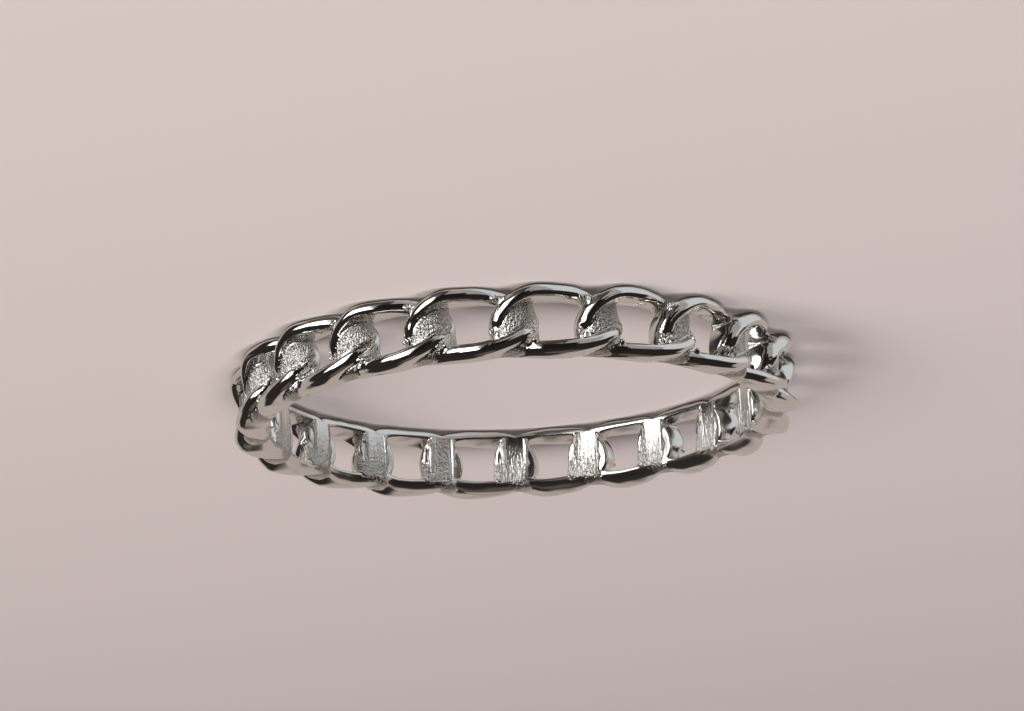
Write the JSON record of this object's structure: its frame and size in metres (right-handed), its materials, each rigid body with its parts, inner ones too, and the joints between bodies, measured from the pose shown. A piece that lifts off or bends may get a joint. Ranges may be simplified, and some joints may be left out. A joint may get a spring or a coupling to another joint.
{
  "type": "chain link ring",
  "caption": "Slim finger ring cast as one band of curb chain links, with round-topped crossing wires, recessed webs and open eyes between them.",
  "frame": {"origin": "centre of the ring at the height of the surface it lies on", "axes": "+Z along the axis of the finger hole, up from the surface the ring lies on; -Y towards the side that the picture shows nearest"},
  "size_m": [0.02, 0.02, 0.0025],
  "materials": {
    "silver": "polished cast silver, fine cast grain in the recessed webs"
  },
  "bodies": {
    "root": {"link_band": "silver"}
  },
  "joints": []
}
